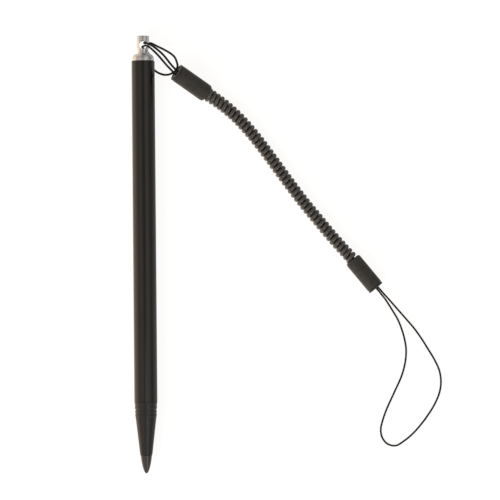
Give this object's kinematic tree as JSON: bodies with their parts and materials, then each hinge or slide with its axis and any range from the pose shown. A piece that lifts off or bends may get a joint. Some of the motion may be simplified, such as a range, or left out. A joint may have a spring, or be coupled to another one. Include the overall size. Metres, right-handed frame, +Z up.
{
  "type": "tethered stylus",
  "caption": "Thin round stylus with a soft writing tip and an eyelet end plug, tied by a thread loop to a curly cord that ends in a long lanyard loop.",
  "frame": {"origin": "bottom centre of the stylus's own bounding box, on the surface it lies on", "axes": "+Y along the stylus from the writing tip to the eyelet, +Z up from the surface, +X towards the tether"},
  "size_m": [0.0933, 0.1326, 0.0081],
  "materials": {
    "barrel": "satin black, as on anodised aluminium, warm in the highlights",
    "cone": "satin black",
    "tip": "smooth, slightly satin",
    "plug": "bright plated metal, taken to be nickel",
    "thread": "twisted synthetic thread, dull",
    "sleeve": "matte, soft moulded",
    "crimp": "plain drawn tube",
    "coil": "smooth extruded plastic, satin"
  },
  "bodies": {
    "stylus": {"barrel_tube": "barrel", "nose_cone": "cone", "writing_tip": "tip", "end_plug": "plug"},
    "tether": {"upper_thread_loop": "thread", "upper_sleeve": "sleeve", "upper_crimp": "crimp", "upper_coil_tail": "coil", "coil_cord": "coil"},
    "tether_end": {"lower_coil_tail": "coil", "lower_sleeve": "sleeve", "lower_crimp": "crimp", "lower_thread_loop": "thread"}
  },
  "joints": [
    {"name": "tether_swing", "type": "hinge", "parent": "stylus", "child": "tether", "pos_m": [0, 0.0635, 0.0035], "axis": [0, 0, 1], "range_deg": [0, 225]},
    {"name": "tether_stretch", "type": "slide", "parent": "tether", "child": "tether_end", "axis": [0.6537, -0.7567, 0], "range_m": [0, 0.1], "stiffness_N_per_m": 15, "deforming": ["coil_cord"]}
  ]
}
